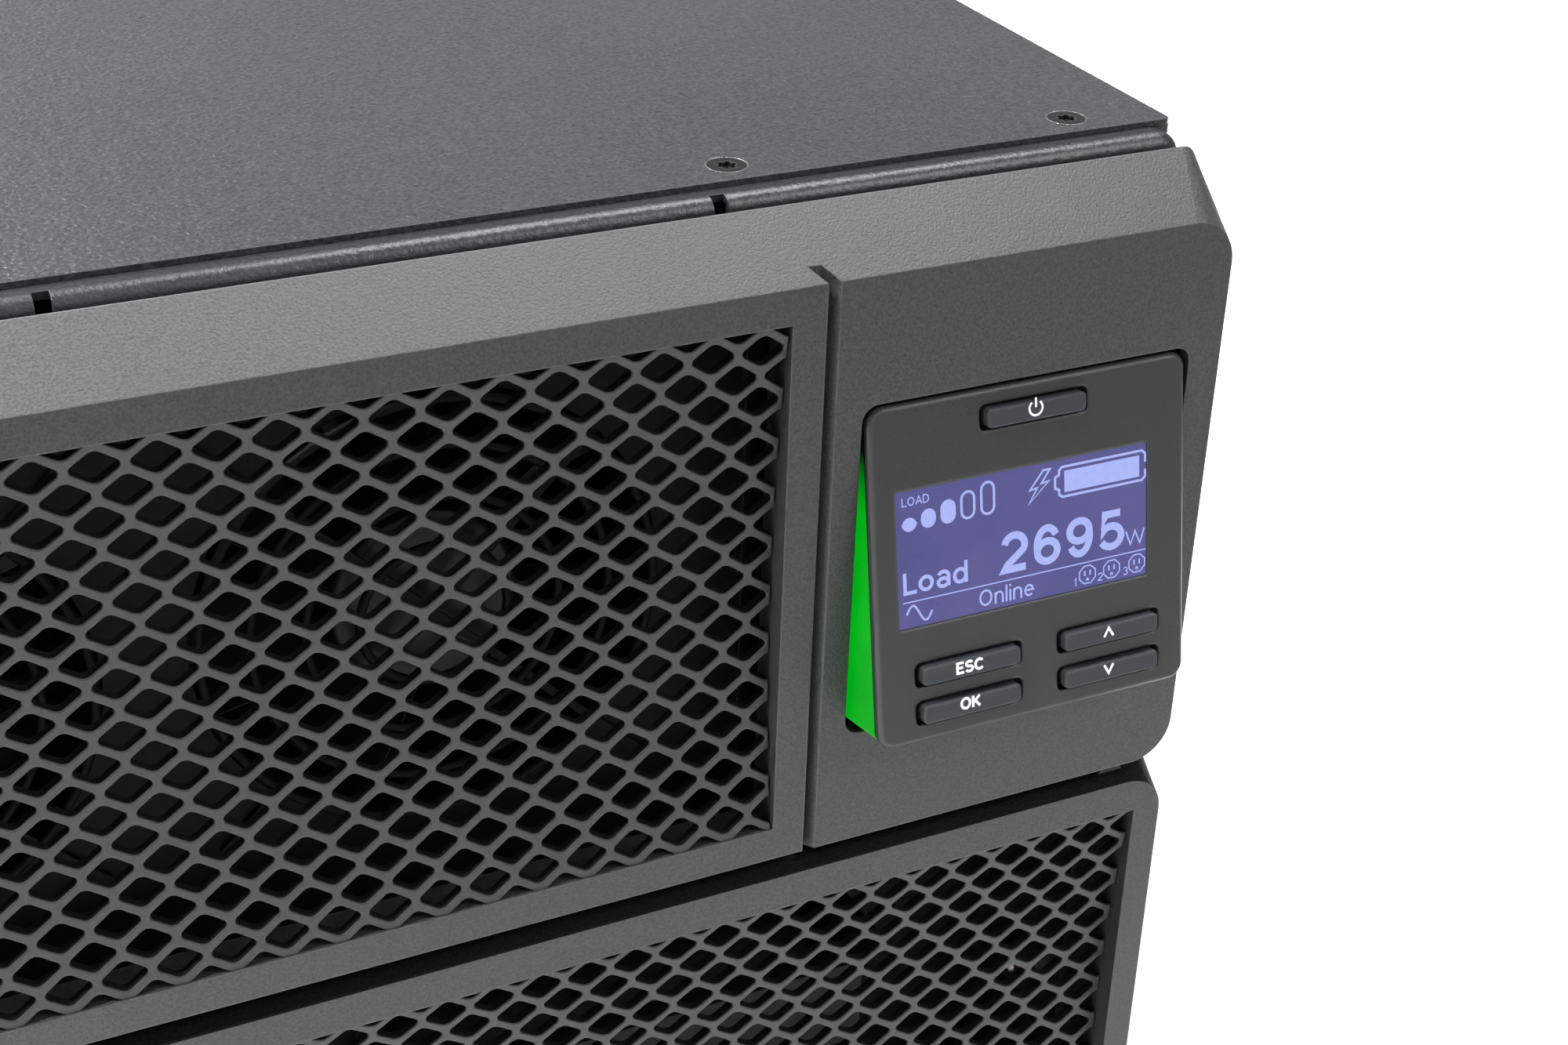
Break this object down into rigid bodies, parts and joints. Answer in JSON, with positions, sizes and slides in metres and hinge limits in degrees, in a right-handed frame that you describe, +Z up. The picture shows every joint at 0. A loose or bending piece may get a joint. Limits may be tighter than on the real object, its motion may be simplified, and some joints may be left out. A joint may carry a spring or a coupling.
{
  "type": "rackmount uninterruptible power supply",
  "caption": "Rackmount uninterruptible power supply with grille bezels, a tilting display and keys, cooling fans, pull-out battery modules and rear power connections.",
  "frame": {"origin": "centre of the flat underside of the chassis", "axes": "+Z up, the front with the bezels faces -Y, +X to the right seen from the front"},
  "size_m": [0.432, 0.7294, 0.263],
  "materials": {
    "cover_coat": "fine textured powder coat",
    "chassis_coat": "fine textured powder coat",
    "frame_coat": "satin powder coat",
    "plated_steel": "zinc plated",
    "black_screw": "black oxide",
    "bright_screw": "nickel plated",
    "bezel_plastic": "fine moulded grain",
    "grille_plastic": "fine moulded grain",
    "fascia_plastic": "fine moulded grain",
    "housing_plastic": "smooth green moulding",
    "screen": "smooth backlit screen",
    "key_rubber": "matt",
    "black_plastic": "satin",
    "board": "solder mask",
    "heatsink": "extruded",
    "capacitor_sleeve": "shrink sleeve",
    "copper_winding": "enamelled copper",
    "core_steel": "varnished laminations",
    "battery_case": "moulded case",
    "charger_case": "anodised",
    "earth_brass": "machined"
  },
  "bodies": {
    "chassis": {"base_tray": "chassis_coat", "rack_nuts": "bright_screw", "front_frame": "frame_coat", "bezel_studs": "bright_screw", "mid_deck": "plated_steel", "rear_panel": "chassis_coat", "top_cover": "cover_coat", "cover_screws": "black_screw", "display_bracket": "black_plastic", "hinge_pins": "bright_screw", "fan_bracket": "plated_steel", "fan_frame_left": "black_plastic", "fan_frame_middle": "black_plastic", "fan_frame_right": "black_plastic", "fan_guards": "bright_screw", "board_standoffs": "bright_screw", "main_board": "board", "heatsink_left": "heatsink", "heatsink_right": "heatsink", "bulk_capacitors": "capacitor_sleeve", "inductors": "copper_winding", "transformer": "core_steel", "control_board": "board", "bay_divider": "plated_steel", "battery_sockets": "black_plastic", "charger_module": "charger_case", "card_guides": "black_plastic", "signal_ports": "black_plastic", "battery_expansion_connector": "black_plastic", "outlet_blocks": "black_plastic", "breaker_bodies": "black_plastic", "terminal_block": "black_plastic", "terminal_cover": "chassis_coat", "ground_stud": "earth_brass", "rear_screws": "bright_screw"},
    "upper_front": {"upper_bezel": "bezel_plastic", "upper_grille": "grille_plastic"},
    "lower_front": {"lower_bezel": "bezel_plastic", "lower_grille": "grille_plastic"},
    "display": {"display_fascia": "fascia_plastic", "display_housing": "housing_plastic", "lcd_module": "screen", "keypad_board": "board"},
    "power_key": {"power_button": "key_rubber"},
    "esc_key": {"esc_button": "key_rubber"},
    "ok_key": {"ok_button": "key_rubber"},
    "up_key": {"up_button": "key_rubber"},
    "down_key": {"down_button": "key_rubber"},
    "battery_module_left": {"battery_tray_left": "plated_steel", "battery_blocks_left": "battery_case", "pull_handle_left": "black_plastic"},
    "battery_module_right": {"battery_tray_right": "plated_steel", "battery_blocks_right": "battery_case", "pull_handle_right": "black_plastic"},
    "fan_left": {"fan_rotor_left": "black_plastic"},
    "fan_middle": {"fan_rotor_middle": "black_plastic"},
    "fan_right": {"fan_rotor_right": "black_plastic"},
    "rocker_left": {"breaker_rocker_left": "black_plastic"},
    "rocker_right": {"breaker_rocker_right": "black_plastic"},
    "card": {"network_card": "chassis_coat"}
  },
  "joints": [
    {"name": "display_tilt", "type": "hinge", "parent": "chassis", "child": "display", "pos_m": [0.1728, -0.35152, 0.22026], "axis": [-1, 0, 0], "range_deg": [-10.8, 4.2]},
    {"name": "power_press", "type": "slide", "parent": "display", "child": "power_key", "axis": [0, 0.9823, -0.1874], "range_m": [0, 0.0008], "stiffness_N_per_m": 900, "springref_m": -0.0003},
    {"name": "esc_press", "type": "slide", "parent": "display", "child": "esc_key", "axis": [0, 0.9823, -0.1874], "range_m": [0, 0.0008], "stiffness_N_per_m": 900, "springref_m": -0.0003},
    {"name": "ok_press", "type": "slide", "parent": "display", "child": "ok_key", "axis": [0, 0.9823, -0.1874], "range_m": [0, 0.0008], "stiffness_N_per_m": 900, "springref_m": -0.0003},
    {"name": "up_press", "type": "slide", "parent": "display", "child": "up_key", "axis": [0, 0.9823, -0.1874], "range_m": [0, 0.0008], "stiffness_N_per_m": 900, "springref_m": -0.0003},
    {"name": "down_press", "type": "slide", "parent": "display", "child": "down_key", "axis": [0, 0.9823, -0.1874], "range_m": [0, 0.0008], "stiffness_N_per_m": 900, "springref_m": -0.0003},
    {"name": "upper_front_pull", "type": "slide", "parent": "chassis", "child": "upper_front", "axis": [0, -1, 0], "range_m": [0, 0.08]},
    {"name": "lower_front_pull", "type": "slide", "parent": "chassis", "child": "lower_front", "axis": [0, -1, 0], "range_m": [0, 0.5]},
    {"name": "battery_left_slide", "type": "slide", "parent": "chassis", "child": "battery_module_left", "axis": [0, -1, 0], "range_m": [0, 0.4]},
    {"name": "battery_right_slide", "type": "slide", "parent": "chassis", "child": "battery_module_right", "axis": [0, -1, 0], "range_m": [0, 0.4]},
    {"name": "fan_left_spin", "type": "hinge", "parent": "chassis", "child": "fan_left", "pos_m": [-0.14765, -0.3245, 0.18975], "axis": [0, 1, 0], "continuous": true},
    {"name": "fan_middle_spin", "type": "hinge", "parent": "chassis", "child": "fan_middle", "pos_m": [-0.04365, -0.3245, 0.18975], "axis": [0, 1, 0], "continuous": true},
    {"name": "fan_right_spin", "type": "hinge", "parent": "chassis", "child": "fan_right", "pos_m": [0.06035, -0.3245, 0.18975], "axis": [0, 1, 0], "continuous": true},
    {"name": "breaker_left_rock", "type": "hinge", "parent": "chassis", "child": "rocker_left", "pos_m": [-0.038, 0.3414, 0.07], "axis": [1, 0, 0], "range_deg": [0, 18]},
    {"name": "breaker_right_rock", "type": "hinge", "parent": "chassis", "child": "rocker_right", "pos_m": [-0.008, 0.3414, 0.07], "axis": [1, 0, 0], "range_deg": [0, 18]},
    {"name": "network_card_slide", "type": "slide", "parent": "chassis", "child": "card", "axis": [0, 1, 0], "range_m": [0, 0.12]}
  ],
  "couplings": [
    {"joint": "battery_left_slide", "follows": "lower_front_pull", "ratio": 0.8},
    {"joint": "battery_right_slide", "follows": "lower_front_pull", "ratio": 0.8}
  ]
}
